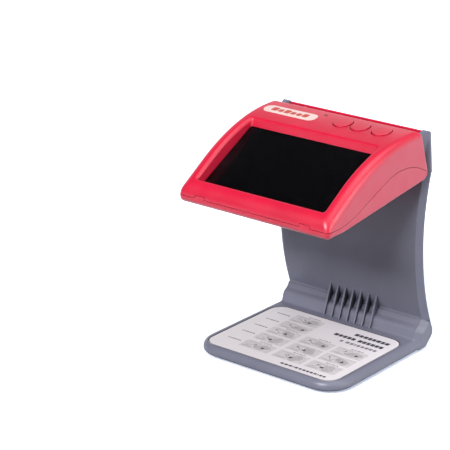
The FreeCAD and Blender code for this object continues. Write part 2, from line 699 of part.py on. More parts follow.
def snap_block(x_range, gap):
    left, right = x_range
    foot_z = 108.0
    return plate(left - gap, right + gap, -61, -49, foot_z, SNAP_TOP_Z + gap)


def badge_column(gap):
    left, right = BADGE_X
    front, rear = BADGE_Y
    return plate(left - gap, right + gap, front - gap, rear + gap, 140, ABOVE_HEAD_Z, BADGE_CORNER + gap)


def head_top_shell(body, cavity):
    shell = body.cut(cavity.cut(screen_opening(WELL_WALL))).common(seam_zone(0))
    shell = shell.cut(head_solid(1.0).common(seam_band(1.7)))
    inside = head_solid(HEAD_WALL / 2)
    posts = [on_floor(rod(SHELL_POST_R, x, SHELL_SCREW_U, SHELL_JOINT_W + 0.05, 60)) for x in SHELL_SCREW_X]
    posts += [rod(1.9, x, y, CONTROL_BOARD_TOP, ABOVE_HEAD_Z) for x, y in CONTROL_POSTS]
    posts += [on_back(rod(3.2, x, -HEAD_SCREW_S, -7, -1)) for x in HEAD_SCREW_X]
    shell = joined([shell] + [p.common(inside) for p in posts])
    cuts = [snap_block(span, 0.25) for span in (SNAP_LEFT_X, SNAP_RIGHT_X)]
    cuts += [on_floor(rod(SHELL_SCREW_R, x, SHELL_SCREW_U, 5, 24)) for x in SHELL_SCREW_X]
    cuts += [rod(SMALL_SCREW_R, x, y, 135, CONTROL_BOARD_TOP + 3.6) for x, y in CONTROL_POSTS]
    cuts += [on_back(rod(HEAD_SCREW_R, x, -HEAD_SCREW_S, -6, 4)) for x in HEAD_SCREW_X]
    cuts.append(wire_port(-4))
    hole_x = BUTTON_HALF_X + BUTTON_GAP
    hole_y = BUTTON_HALF_Y + BUTTON_GAP
    cuts += [ellipse_rod(hole_x, hole_y, x, BUTTON_Y, 145, ABOVE_HEAD_Z) for x in BUTTON_X.values()]
    cuts.append(badge_column(0.12).cut(moved(body, 0, 0, -0.5)))
    cuts.append(rod(STATUS_LIGHT_R + 0.25, STATUS_LIGHT_X, STATUS_LIGHT_Y, 145, ABOVE_HEAD_Z))
    return shell.cut(cuts)


def lamp_plate(grow, low, high, corner):
    """Plate over the lamp opening in the head's floor, larger than it on all sides."""
    half_x = LAMP_HALF_X + grow
    half_u = LAMP_HALF_U + grow
    return on_floor(plate(-half_x, half_x, LAMP_U - half_u, LAMP_U + half_u, low, high, corner))


def head_bottom_shell(body, cavity):
    shell = body.cut(cavity).cut(seam_zone(-SEAM_GAP))
    lip_band = seam_zone(-2.0).cut(seam_zone(1.5))
    lip = head_solid(1.15).cut(head_solid(HEAD_WALL + 0.2)).common(lip_band)
    lip = lip.cut(snap_block(SNAP_LEFT_X, 0.25)).cut(snap_block(SNAP_RIGHT_X, 0.25))
    above_snaps = seam_zone(SNAP_TOP_Z - SEAM_OUTLINE[0][1])
    wall = body.cut(cavity).cut(above_snaps)
    snaps = [wall.common(snap_block(span, 0)) for span in (SNAP_LEFT_X, SNAP_RIGHT_X)]
    inside = head_solid(HEAD_WALL / 2)
    posts = [on_floor(rod(SHELL_POST_R, x, SHELL_SCREW_U, 0.5, SHELL_JOINT_W)) for x in SHELL_SCREW_X]
    posts += [on_floor(rod(2.6, x, u, 0.5, MAIN_BOARD_W)) for x, u in BOARD_POSTS]
    posts += [on_floor(rod(2.4, x, u, 0.5, LED_BOARD_W)) for x, u in LED_POSTS]
    shell = joined([shell, lip] + snaps + [p.common(inside) for p in posts])
    cuts = [on_floor(rod(SHELL_SCREW_R + 0.3, x, SHELL_SCREW_U, -2, 20)) for x in SHELL_SCREW_X]
    cuts += [on_floor(rod(2.9, x, SHELL_SCREW_U, -2, SHELL_SINK_W)) for x in SHELL_SCREW_X]
    cuts += [on_floor(rod(SMALL_SCREW_R, x, u, MAIN_BOARD_W - 6, MAIN_BOARD_W + 1)) for x, u in BOARD_POSTS]
    cuts += [on_floor(rod(SMALL_SCREW_R, x, u, LED_BOARD_W - 4, LED_BOARD_W + 1)) for x, u in LED_POSTS]
    cuts.append(lamp_plate(0, -2, 4, 4))
    return shell.cut(cuts)


def head_mount_screws():
    part = screw(HEAD_SCREW_R, 2.6, 1.5, 7.0)
    seat = HEAD_WALL_GAP + HEAD_WALL_THICKNESS + 0.02
    return grouped([on_back(moved(part, x, -HEAD_SCREW_S, seat)) for x in HEAD_SCREW_X])


def shell_screws():
    part = pointing_down(screw(SHELL_SCREW_R, 2.6, 1.8, 16.0))
    return grouped([on_floor(moved(part, x, SHELL_SCREW_U, SHELL_SINK_W - 0.02)) for x in SHELL_SCREW_X])


# ---- Screen ----
def screen_glass():
    half_x = SCREEN_HALF_WIDTH + WELL_WALL - 0.3
    half_u = SCREEN_HALF_LENGTH + WELL_WALL - 0.3
    return on_screen(plate(-half_x, half_x, -half_u, half_u, -GLASS_THICKNESS - 0.02, -0.02, 1.5))


LCD_HALF_X = 52.7
LCD_HALF_U = 33.6
LCD_TOP_W = -GLASS_THICKNESS - 0.05
LCD_BACK_W = -3.9
LCD_PANEL_HALF_X = 50.2
LCD_PANEL_HALF_U = 31.0
LCD_PANEL_THICKNESS = 1.3


def lcd_frame():
    body = plate(-LCD_HALF_X, LCD_HALF_X, -LCD_HALF_U, LCD_HALF_U, LCD_BACK_W, LCD_TOP_W, 0.8)
    pocket = plate(-LCD_PANEL_HALF_X, LCD_PANEL_HALF_X, -LCD_PANEL_HALF_U, LCD_PANEL_HALF_U,
                   LCD_TOP_W - LCD_PANEL_THICKNESS, 1, 0.5)
    return on_screen(body.cut(pocket))


def lcd_panel():
    half_x = LCD_PANEL_HALF_X - 0.1
    half_u = LCD_PANEL_HALF_U - 0.1
    foot_w = LCD_TOP_W - LCD_PANEL_THICKNESS + 0.02
    return on_screen(plate(-half_x, half_x, -half_u, half_u, foot_w, LCD_TOP_W, 0.4))


def display_ribbon():
    return strip([(-4.2, 135.1), (0.5, 133.2), (6.0, 133.0), (10.6, 134.2)], 0.3, -12, 12)


# ---- Controls ----
BUTTON_TAB_HALF_X = 3.0
SWITCH_HALF = 3.0
SWITCH_TOP = 145.8
PLUNGER_R = 1.6
PLUNGER_TOP = 146.6


def button(x, body):
    """Oval cap, just proud of the top, with two tabs that stop it under the shell."""
    cap = ellipse_rod(BUTTON_HALF_X, BUTTON_HALF_Y, x, BUTTON_Y, BUTTON_FOOT_Z, ABOVE_HEAD_Z)
    cap = cap.common(moved(body, 0, 0, BUTTON_PROUD))
    rim = [e for e in cap.Edges if e.BoundBox.ZMin > BUTTON_FOOT_Z + 1.0 and e.BoundBox.XLength > 5]
    cap = cap.makeFillet(0.4, rim)
    tab_y = BUTTON_HALF_Y + 1.2
    tabs = plate(x - BUTTON_TAB_HALF_X, x + BUTTON_TAB_HALF_X, BUTTON_Y - tab_y, BUTTON_Y + tab_y,
                 BUTTON_FOOT_Z, BUTTON_FOOT_Z + 1.2, 0.5)
    stem = rod(2.2, x, BUTTON_Y, PLUNGER_TOP + 0.02, BUTTON_FOOT_Z + 0.2)
    return joined([cap, tabs, stem])


def switch_plunger(x):
    return rod(PLUNGER_R, x, BUTTON_Y, SWITCH_TOP - 1.0, PLUNGER_TOP)


def switch_bodies():
    bodies = []
    for x in BUTTON_X.values():
        body = plate(x - SWITCH_HALF, x + SWITCH_HALF, BUTTON_Y - SWITCH_HALF, BUTTON_Y + SWITCH_HALF,
                     CONTROL_BOARD_TOP + 0.02, SWITCH_TOP, 0.3)
        bodies.append(body.cut(rod(PLUNGER_R + 0.3, x, BUTTON_Y, SWITCH_TOP - 2.2, ABOVE_HEAD_Z)))
    return grouped(bodies)


def control_board():
    board = plate(-14, 44.5, 10.5, 34.0, CONTROL_BOARD_Z, CONTROL_BOARD_TOP - 0.02, 1.0)
    return board.cut([rod(SMALL_SCREW_R + 0.2, x, y, 130, 150) for x, y in CONTROL_POSTS])


def control_board_screws():
    part = pointing_down(screw(SMALL_SCREW_R, 1.8, 0.9, 4.2))
    return grouped([moved(part, x, y, CONTROL_BOARD_Z - 0.02) for x, y in CONTROL_POSTS])


def status_light(body):
    pipe = rod(STATUS_LIGHT_R, STATUS_LIGHT_X, STATUS_LIGHT_Y, CONTROL_BOARD_TOP, ABOVE_HEAD_Z)
    return pipe.common(moved(body, 0, 0, -0.1))


def badge_plate(body):
    proud = moved(body, 0, 0, 0.25)
    floor = moved(body, 0, 0, -0.48)
    return badge_column(0).common(proud).cut(floor)


# ---- Boards and optics ----
def main_board():
    board = plate(-44, 44, 74, 98, MAIN_BOARD_W + 0.02, MAIN_BOARD_W + BOARD_THICKNESS, 1.5)
    return on_floor(board.cut([rod(SMALL_SCREW_R + 0.2, x, u, 0, 40) for x, u in BOARD_POSTS]))


def board_screws():
    part = screw(SMALL_SCREW_R, 1.8, 0.9, 5.0)
    top = MAIN_BOARD_W + BOARD_THICKNESS + 0.02
    return grouped([on_floor(moved(part, x, u, top)) for x, u in BOARD_POSTS])


def main_chips():
    top = MAIN_BOARD_W + BOARD_THICKNESS + 0.02
    sizes = [(-18, 85, 7, 7, 1.3), (-2, 82, 5, 4, 1.0), (-2, 91, 5, 4, 1.0),
             (16, 86, 4, 6, 1.1), (29, 88, 3, 3, 1.2)]
    chips = [plate(x - a, x + a, u - b, u + b, top, top + high, 0.3) for x, u, a, b, high in sizes]
    return grouped([on_floor(chip) for chip in chips])


def board_connectors():
    low = MAIN_BOARD_W - 3.5
    power = plate(-5, 5, 93.5, 97.5, low, MAIN_BOARD_W, 0.4)
    display = plate(-13, 13, 74.5, 78.5, low + 1.5, MAIN_BOARD_W, 0.4)
    lamps = plate(-30, -22, 88, 92, low, MAIN_BOARD_W, 0.4)
    return grouped([on_floor(part) for part in (power, display, lamps)])


CAMERA_BOARD_W = 13.0
HOLDER_HALF = 7.0


def camera_board():
    half = 15.0
    low = CAMERA_BOARD_W + 0.02
    return on_floor(plate(-half, half, LAMP_U - half, LAMP_U + half, low, CAMERA_BOARD_W + 1.2, 1.0))


def lens_holder():
    half = HOLDER_HALF
    block = plate(-half, half, LAMP_U - half, LAMP_U + half, 7.0, CAMERA_BOARD_W, 1.0)
    neck = rod(5.6, 0, LAMP_U, 5.4, 7.2)
    return on_floor(joined([block, neck]).cut(rod(4.6, 0, LAMP_U, 0, CAMERA_BOARD_W - 0.8)))


def lens_barrel():
    body = rod(4.5, 0, LAMP_U, 4.2, 11.0)
    return on_floor(body.cut([rod(3.3, 0, LAMP_U, 4.0, 5.8), rod(2.0, 0, LAMP_U, 5.0, 12.0)]))


def lens_glass():
    disc = rod(3.2, 0, LAMP_U, 4.7, 5.75)
    low_rim = [disc.Edges[2]]
    return on_floor(disc.makeFillet(0.5, low_rim))


def led_board():
    board = plate(-36, 36, LAMP_U - 18, LAMP_U + 18, LED_BOARD_W + 0.02, LED_BOARD_W + 1.2, 1.5)
    half = HOLDER_HALF + 0.6
    hole = plate(-half, half, LAMP_U - half, LAMP_U + half, 0, 20, 1)
    return on_floor(board.cut([hole] + [rod(SMALL_SCREW_R + 0.2, x, u, 0, 20) for x, u in LED_POSTS]))


def led_screws():
    part = screw(SMALL_SCREW_R, 1.8, 0.9, 3.6)
    return grouped([on_floor(moved(part, x, u, LED_BOARD_W + 1.22)) for x, u in LED_POSTS])


def led(x, u, radius):
    centre_w = 6.3
    body = joined([rod(radius, x, u, centre_w, LED_BOARD_W), Part.makeSphere(radius, V(x, u, centre_w))])
    return on_floor(body.cut(Part.makeBox(10, 10, 5, V(x - 5, u - 5, LED_BOARD_W))))


def infrared_leds():
    return grouped([led(x, LAMP_U + du, 2.3) for x in (-20, -13, 13, 20) for du in (-10, 10)])


def ultraviolet_leds():
    return grouped([led(x, LAMP_U + du, 1.9) for x in (-22, 22) for du in (-3.2, 3.2)])


def lamp_window():
    return lamp_plate(2.5, HEAD_WALL + 0.02, HEAD_WALL + 1.5, 3)


def build():
    body = head_body()
    cavity = head_solid(HEAD_WALL)
    parts = {
        "stand_shell": stand_shell(),
        "column_rear_cover": column_rear_cover(),
        "cover_screws": cover_screws(),
        "rear_vent_panel": rear_vent_panel(),
        "base_bottom_plate": base_bottom_plate(),
        "rubber_feet": rubber_feet(),
        "base_screws": base_screws(),
        "note_guide_label": note_guide_label(),
        "dc_jack_body": dc_jack_body(),
        "dc_jack_pin": dc_jack_pin(),
        "power_lead": power_lead(),
        "head_top_shell": head_top_shell(body, cavity),
        "head_bottom_shell": head_bottom_shell(body, cavity),
        "head_mount_screws": head_mount_screws(),
        "shell_screws": shell_screws(),
        "screen_glass": screen_glass(),
        "lcd_frame": lcd_frame(),
        "lcd_panel": lcd_panel(),
        "display_ribbon": display_ribbon(),
        "badge_plate": badge_plate(body),
        "status_light": status_light(body),
        "switch_bodies": switch_bodies(),
        "control_board": control_board(),
        "control_board_screws": control_board_screws(),
        "main_board": main_board(),
        "board_screws": board_screws(),
        "main_chips": main_chips(),
        "board_connectors": board_connectors(),
        "camera_board": camera_board(),
        "lens_holder": lens_holder(),
        "lens_barrel": lens_barrel(),
        "lens_glass": lens_glass(),
        "led_board": led_board(),
        "led_screws": led_screws(),
        "infrared_leds": infrared_leds(),
        "ultraviolet_leds": ultraviolet_leds(),
        "lamp_window": lamp_window(),
    }
    for side, x in BUTTON_X.items():
        parts["button_" + side] = button(x, body)
        parts["switch_plunger_" + side] = switch_plunger(x)
    return parts


os.makedirs("parts", exist_ok=True)
for name, shape in build().items():
    if not shape.isValid() or any(not solid.isClosed() for solid in shape.Solids):
        raise ValueError(name + " is not a sound solid")
    shape.exportStep("parts/" + name + ".step")
    box = shape.BoundBox
    print("%-22s %d solids %9.1f mm3  y %.1f..%.1f  z %.1f..%.1f" % (
        name, len(shape.Solids), shape.Volume, box.YMin, box.YMax, box.ZMin, box.ZMax))
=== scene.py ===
import json
import math

import bmesh
import bpy
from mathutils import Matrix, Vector
from mathutils.bvhtree import BVHTree


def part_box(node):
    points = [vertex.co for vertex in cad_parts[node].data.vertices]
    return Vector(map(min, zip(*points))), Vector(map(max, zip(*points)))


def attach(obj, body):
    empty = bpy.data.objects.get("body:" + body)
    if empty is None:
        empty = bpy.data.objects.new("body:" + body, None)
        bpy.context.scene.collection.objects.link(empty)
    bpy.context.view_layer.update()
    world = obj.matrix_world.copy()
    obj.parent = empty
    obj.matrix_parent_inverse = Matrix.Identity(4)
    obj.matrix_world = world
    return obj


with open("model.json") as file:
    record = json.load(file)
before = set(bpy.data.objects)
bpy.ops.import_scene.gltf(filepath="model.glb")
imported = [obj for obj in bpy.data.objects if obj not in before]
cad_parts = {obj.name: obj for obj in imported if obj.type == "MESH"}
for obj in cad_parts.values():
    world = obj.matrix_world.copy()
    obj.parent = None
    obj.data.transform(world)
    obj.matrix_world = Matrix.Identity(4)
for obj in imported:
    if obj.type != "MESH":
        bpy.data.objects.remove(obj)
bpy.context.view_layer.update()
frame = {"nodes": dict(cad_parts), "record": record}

NODES = frame["nodes"]
MM = 0.001


# ---- Node helpers ----
def feed(tree, socket, value):
    """Links the socket to another node's output, or sets it to a number or a colour."""
    if isinstance(value, bpy.types.NodeSocket):
        tree.links.new(value, socket)
    else:
        socket.default_value = value


def add(tree, kind, inputs=None, **settings):
    """New node with its inputs fed and its settings set."""
    made = tree.nodes.new(kind)
    for key, value in settings.items():
        setattr(made, key, value)
    for key, value in (inputs or {}).items():
        feed(tree, made.inputs[key], value)
    return made


def wire(tree, shader, **sockets):
    """Feeds the shader's sockets; an underscore in a name stands for a space."""
    for key, value in sockets.items():
        feed(tree, shader.inputs[key.replace("_", " ")], value)


def rgba(colour, factor=1.0):
    """Four-channel colour, darker or lighter by factor."""
    return (*(min(1.0, c * factor) for c in colour), 1.0)


def place(tree, stretch=(1, 1, 1)):
    """Coordinates that stay with the object, in metres."""
    source = add(tree, "ShaderNodeTexCoord").outputs["Object"]
    return add(tree, "ShaderNodeMapping", {"Vector": source, "Scale": stretch}).outputs["Vector"]


def mottle(tree, size, stretch=(1, 1, 1), detail=3.0):
    """Soft random value from 0 to 1 whose lumps are about size metres across."""
    sockets = {"Vector": place(tree, stretch), "Scale": 1 / size, "Detail": detail}
    return add(tree, "ShaderNodeTexNoise", sockets).outputs["Fac"]


def spread(tree, value, low, high, start=0.3, end=0.7):
    """Maps the range from start to end onto the range from low to high."""
    sockets = {"Value": value, "From Min": start, "From Max": end, "To Min": low, "To Max": high}
    return add(tree, "ShaderNodeMapRange", sockets).outputs["Result"]


def patchy(tree, size, low, high, stretch=(1, 1, 1), detail=3.0):
    """Random value from low to high whose lumps are about size metres across."""
    return spread(tree, mottle(tree, size, stretch, detail), low, high)


def mixed(tree, factor, first, second):
    sockets = {0: factor, 6: first, 7: second}
    return add(tree, "ShaderNodeMix", sockets, data_type="RGBA").outputs[2]


def product(tree, first, second):
    return add(tree, "ShaderNodeMath", {0: first, 1: second}, operation="MULTIPLY").outputs[0]


def rounded_normal(tree, radius):
    """Surface direction with the edges rounded off by radius."""
    return add(tree, "ShaderNodeBevel", {"Radius": radius}, samples=4).outputs["Normal"]


def edges(tree, radius, noise_size):
    """About 1 along outside edges and 0 elsewhere, broken up by noise, for wear."""
    soft = rounded_normal(tree, radius)
    true = add(tree, "ShaderNodeNewGeometry").outputs["True Normal"]
    dot = add(tree, "ShaderNodeVectorMath", {0: soft, 1: true}, operation="DOT_PRODUCT")
    bend = spread(tree, dot.outputs["Value"], low=1.0, high=0.0, start=0.86, end=0.995)
    broken = spread(tree, mottle(tree, noise_size), low=0.0, high=1.0, start=0.42, end=0.62)
    return product(tree, bend, broken)


def painted_crevice_shade(tree, reach):
    """Falls from 1 on open faces to 0 deep in gaps, and so sets where shade is painted into gaps.
    """
    occlusion = add(tree, "ShaderNodeAmbientOcclusion", {"Distance": reach}, samples=8)
    return spread(tree, occlusion.outputs["AO"], low=0.0, high=1.0, start=0.12, end=0.74)


def relief(tree, height, depth, strength, under=None):
    """Surface direction bent by a height pattern that is depth metres deep."""
    sockets = {"Height": height, "Distance": depth, "Strength": strength}
    if under is not None:
        sockets["Normal"] = under
    return add(tree, "ShaderNodeBump", sockets).outputs["Normal"]


def finish_of(name):
    material = bpy.data.materials.new(name)
    material.use_nodes = True
    tree = material.node_tree
    return material, tree, tree.nodes["Principled BSDF"]


# ---- Materials ----
RED = (0.58, 0.004, 0.036)
# Painted shade: colour painted into the gaps of the red plastic.
PAINTED_SHADE_RED = (0.17, 0.003, 0.018)
BLUE_GREY = (0.155, 0.16, 0.215)
# Painted shade: colour painted into the gaps of the grey plastic.
PAINTED_SHADE_GREY = (0.02, 0.019, 0.028)
PLATED_HOLE = (0.62, 0.6, 0.52)
AMBER = (0.42, 0.17, 0.02)
COPPER_LINE = (0.5, 0.27, 0.08)
DARK_CELL = (0.0085, 0.0085, 0.0115)
PALE_CELL = (0.011, 0.011, 0.0145)
CELL_GAP = (0.002, 0.002, 0.003)

MOULDED_EDGE_RADIUS = 0.25 * MM
RUBBED_EDGE_RADIUS = 0.5 * MM
RUBBED_GREY = 0.8
RUBBED_SHARE = 0.25
DUST_LIFT = 0.035
PLAIN_SPECULAR = 0.5


def moulded(name, colour, roughness, pit, pit_depth, wear=0.25, level=PLAIN_SPECULAR, coat=0.0,
            deep=None, reach=3 * MM):
    """Injection-moulded plastic: fine spark-eroded texture, faint flow marks, rubbed edges.

    Gaps up to reach wide get painted shade: they turn towards the deep colour and lose their shine.
    """
    material, tree, shader = finish_of(name)
    flow = mottle(tree, size=24 * MM, stretch=(1, 0.6, 0.35))
    speck = mottle(tree, size=1.1 * MM, detail=2.0)
    tone = mixed(tree, spread(tree, flow, low=0, high=1), rgba(colour, 0.93), rgba(colour, 1.05))
    speck_share = spread(tree, speck, low=0, high=0.5, start=0.45, end=0.75)
    tone = mixed(tree, speck_share, tone, rgba(colour, 0.88))
    rubbed = product(tree, edges(tree, RUBBED_EDGE_RADIUS, noise_size=5 * MM), wear)
    pale = tuple(c + (RUBBED_GREY - c) * RUBBED_SHARE for c in colour)
    tone = mixed(tree, rubbed, tone, rgba(pale))
    # Painted shade: ambient occlusion darkens gaps towards the deep colour, or else towards a
    # darker copy of the colour.
    shade = painted_crevice_shade(tree, reach)
    tone = mixed(tree, shade, rgba(deep) if deep else rgba(colour, 0.3), tone)
    gloss = patchy(tree, size=9 * MM, low=roughness - 0.05, high=roughness + 0.05)
    soft = rounded_normal(tree, MOULDED_EDGE_RADIUS)
    pits = mottle(tree, pit, detail=1.0)
    sink = mottle(tree, size=16 * MM, detail=1.0)
    uneven = relief(tree, sink, depth=0.12 * MM, strength=0.25, under=soft)
    normal = relief(tree, pits, pit_depth, strength=0.6, under=uneven)
    # Painted shade: the shine fades in gaps as well.
    sheen = product(tree, shade, level)
    wire(tree, shader, Base_Color=tone, Roughness=gloss, Normal=normal, Specular_IOR_Level=sheen)
    # Painted shade: the coat fades in gaps as well.
    if coat:
        wire(tree, shader, Coat_Weight=product(tree, shade, coat), Coat_Roughness=0.3)
    return material


def film(name, colour, roughness, fibre):
    """Printed satin film: fine grain, a little uneven gloss, faint handling marks."""
    material, tree, shader = finish_of(name)
    stain = patchy(tree, size=30 * MM, low=0, high=1)
    grain = patchy(tree, fibre, low=0, high=0.6, detail=4.0)
    tone = mixed(tree, stain, rgba(colour, 0.96), rgba(colour, 1.02))
    tone = mixed(tree, grain, tone, rgba(colour, 0.94))
    rub = patchy(tree, size=6 * MM, low=roughness - 0.07, high=roughness + 0.08, stretch=(1, 3, 1))
    normal = relief(tree, mottle(tree, fibre, detail=4.0), depth=0.02 * MM, strength=0.4)
    wire(tree, shader, Base_Color=tone, Roughness=rub, Normal=normal,
         Specular_IOR_Level=PLAIN_SPECULAR)
    return material


def ink(name, colour, size, contrast):
    """Printing ink with the uneven cover of a fine screen."""
    material, tree, shader = finish_of(name)
    cover = patchy(tree, size, low=0, high=1, detail=4.0)
    fine = patchy(tree, size=0.3 * MM, low=0, high=contrast, detail=1.0)
    tone = mixed(tree, cover, rgba(colour, 1 - contrast), rgba(colour, 1 + contrast * 0.5))
    tone = mixed(tree, fine, tone, rgba(colour, 1.3))
    gloss = patchy(tree, size=2 * MM, low=0.42, high=0.58)
    normal = relief(tree, mottle(tree, size=0.4 * MM), depth=0.01 * MM, strength=0.3)
    wire(tree, shader, Base_Color=tone, Roughness=gloss, Normal=normal)
    return material


def steel(name, colour, roughness, lines):
    """Plated steel: faint drawn lines and blotches in the plating."""
    material, tree, shader = finish_of(name)
    blotch = patchy(tree, size=2.5 * MM, low=0, high=1)
    tone = mixed(tree, blotch, rgba(colour, 0.82), rgba(colour))
    drawn = mottle(tree, 0.5 * MM, lines, detail=4.0)
    gloss = spread(tree, drawn, low=roughness - 0.08, high=roughness + 0.1)
    normal = relief(tree, drawn, depth=0.015 * MM, strength=0.5)
    wire(tree, shader, Base_Color=tone, Roughness=gloss, Normal=normal, Metallic=1.0)
    return material


def rubber(name, colour, roughness, ribs=None):
    """Matt rubber with a dusty grain, and ribs along a jacket if asked."""
    material, tree, shader = finish_of(name)
    dust = patchy(tree, size=3 * MM, low=0, high=0.6)
    tone = mixed(tree, dust, rgba(colour), rgba(tuple(c + DUST_LIFT for c in colour)))
    gloss = patchy(tree, size=1.5 * MM, low=roughness - 0.08, high=roughness + 0.05)
    grain = mottle(tree, size=0.35 * MM, detail=4.0)
    normal = relief(tree, grain, depth=0.04 * MM, strength=0.6)
    if ribs:
        sockets = {"Vector": place(tree), "Scale": 1 / ribs}
        wave = add(tree, "ShaderNodeTexWave", sockets, bands_direction="X").outputs["Fac"]
        normal = relief(tree, wave, depth=0.2 * MM, strength=0.7, under=normal)
    wire(tree, shader, Base_Color=tone, Roughness=gloss, Normal=normal)
    return material


def board(name, colour):
    """Solder-masked circuit board: copper runs and plated holes show under the mask."""
    material, tree, shader = finish_of(name)
    sockets = {"Vector": place(tree), "Scale": 1 / (6 * MM),
               "Mortar Size": 0.035, "Mortar Smooth": 0.1, "Bias": 0.0}
    bricks = add(tree, "ShaderNodeTexBrick", sockets, offset=0.37, squash=1.6, squash_frequency=3)
    runs = bricks.outputs["Fac"]
    sockets = {"Vector": place(tree), "Scale": 1 / (3.2 * MM)}
    spots = add(tree, "ShaderNodeTexVoronoi", sockets, feature="F1").outputs["Distance"]
    hole = spread(tree, spots, low=1.0, high=0.0, start=0.1, end=0.14)
    weave = patchy(tree, size=0.5 * MM, low=0, high=0.4, stretch=(1, 2, 1))
    tone = mixed(tree, weave, rgba(colour), rgba(colour, 0.7))
    tone = mixed(tree, product(tree, runs, 0.8), tone, rgba(colour, 2.1))
    tone = mixed(tree, hole, tone, rgba(PLATED_HOLE))
    gloss = patchy(tree, size=4 * MM, low=0.24, high=0.36)
    normal = relief(tree, runs, depth=0.05 * MM, strength=0.7)
    wire(tree, shader, Base_Color=tone, Roughness=gloss, Normal=normal, Metallic=hole)
    return material


def clear(name, colour, roughness, ior, haze):
    """Clear or tinted part: even see-through body with a slightly smeared surface."""
    material, tree, shader = finish_of(name)
    tint = patchy(tree, size=12 * MM, low=0, high=1)
    tone = mixed(tree, tint, rgba(colour, 0.92), rgba(colour))
    marks = mottle(tree, size=14 * MM, stretch=(1, 2.5, 1), detail=5.0)
    smear = spread(tree, marks, low=roughness, high=roughness + haze, start=0.4, end=0.8)
    normal = relief(tree, mottle(tree, size=8 * MM), depth=0.01 * MM, strength=0.2)
    wire(tree, shader, Base_Color=tone, Roughness=smear, Normal=normal, IOR=ior,
         Transmission_Weight=1.0)
    return material


def polariser(name):
    """Unlit display face: a faint grid of cells and a bluish black sheen."""
    material, tree, shader = finish_of(name)
    sockets = {"Vector": place(tree), "Scale": 1 / (0.4 * MM), "Mortar Size": 0.06}
    cells = add(tree, "ShaderNodeTexBrick", sockets, offset=0.0).outputs["Fac"]
    cloud = patchy(tree, size=20 * MM, low=0, high=1)
    tone = mixed(tree, cloud, rgba(DARK_CELL), rgba(PALE_CELL))
    tone = mixed(tree, product(tree, cells, 0.4), tone, rgba(CELL_GAP))
    gloss = patchy(tree, size=5 * MM, low=0.3, high=0.38)
    wire(tree, shader, Base_Color=tone, Roughness=gloss, Specular_IOR_Level=0.03)
    return material


def flexible_circuit(name):
    """Amber film with a row of copper lines along it."""
    material, tree, shader = finish_of(name)
    sockets = {"Vector": place(tree), "Scale": 1 / (2.6 * MM)}
    lines = add(tree, "ShaderNodeTexWave", sockets, bands_direction="X").outputs["Fac"]
    band = spread(tree, lines, low=0, high=1, start=0.55, end=0.65)
    tone = mixed(tree, band, rgba(AMBER), rgba(COPPER_LINE))
    gloss = patchy(tree, size=3 * MM, low=0.25, high=0.35)
    normal = relief(tree, lines, depth=0.03 * MM, strength=0.6)
    wire(tree, shader, Base_Color=tone, Roughness=gloss, Normal=normal)
    return material


# Each material slot of the record: how it is made, and with what.
RECIPES = {
    # Painted shade: deep is the colour painted into gaps, and reach is how wide a gap gets shaded.
    "red_plastic": (moulded, dict(colour=RED, roughness=0.4, pit=0.35 * MM, pit_depth=0.012 * MM,
                                  level=0.6, coat=0.25, deep=PAINTED_SHADE_RED)),
    "stand_plastic": (moulded, dict(colour=BLUE_GREY, roughness=0.42, pit=0.45 * MM,
                                    pit_depth=0.02 * MM, deep=PAINTED_SHADE_GREY, reach=9 * MM)),
    "label_film": (film, dict(colour=(0.7, 0.675, 0.705), roughness=0.45, fibre=0.25 * MM)),
    "badge_film": (film, dict(colour=(0.76, 0.56, 0.53), roughness=0.4, fibre=0.25 * MM)),
    "screen_glass": (clear, dict(colour=(0.5, 0.5, 0.53), roughness=0.02, ior=1.2, haze=0.03)),
    "lcd_face": (polariser, {}),
    "lcd_metal": (steel, dict(colour=(0.55, 0.55, 0.56), roughness=0.35, lines=(1, 12, 1))),
    "foot_rubber": (rubber, dict(colour=(0.018, 0.018, 0.02), roughness=0.8)),
    "zinc_steel": (steel, dict(colour=(0.6, 0.61, 0.62), roughness=0.3, lines=(3, 1, 1))),
    "black_plastic": (moulded, dict(colour=(0.016, 0.016, 0.018), roughness=0.4, pit=0.3 * MM,
                                    pit_depth=0.015 * MM, wear=0.1)),
    "connector_plastic": (moulded, dict(colour=(0.7, 0.66, 0.56), roughness=0.38, pit=0.4 * MM,
                                        pit_depth=0.01 * MM, wear=0.1)),
    "nickel_contact": (steel, dict(colour=(0.7, 0.66, 0.58), roughness=0.18, lines=(1, 8, 1))),
    "cable_jacket": (rubber, dict(colour=(0.02, 0.02, 0.022), roughness=0.5, ribs=2.4 * MM)),
    "flex_film": (flexible_circuit, {}),
    "light_pipe": (clear, dict(colour=(0.9, 0.93, 0.9), roughness=0.3, ior=1.45, haze=0.15)),
    "circuit_board": (board, dict(colour=(0.012, 0.11, 0.035))),
    "chip_epoxy": (moulded, dict(colour=(0.02, 0.02, 0.021), roughness=0.55, pit=0.2 * MM,
                                 pit_depth=0.02 * MM, wear=0.1)),
    "lens_glass": (clear, dict(colour=(0.55, 0.5, 0.75), roughness=0.01, ior=1.6, haze=0.02)),
    "ir_led_epoxy": (clear, dict(colour=(0.35, 0.22, 0.42), roughness=0.08, ior=1.5, haze=0.05)),
    "uv_led_epoxy": (clear, dict(colour=(0.85, 0.85, 0.93), roughness=0.06, ior=1.5, haze=0.05)),
    "ir_filter": (clear, dict(colour=(0.16, 0.012, 0.03), roughness=0.12, ior=1.49, haze=0.08)),
}
FINISHES = {name: make(name, **settings) for name, (make, settings) in RECIPES.items()}

for row in frame["record"]["subparts"]:
    slots = NODES[row["node"]].data.materials
    slots.clear()
    slots.append(FINISHES[row["material_slot"]])


# ---- Printed pieces: shapes in millimetres, seen from above ----
LEAST_SIDE = 0.01
BLOCK_CORNER = 0.25
BLOB_POINTS = 22
BLOB_LOBE = 0.22
BLOB_RIPPLE = 0.1
STROKE_POINTS = 9
STROKE_SWING = 2.2 * math.pi
STROKE_WIDTH = 0.35


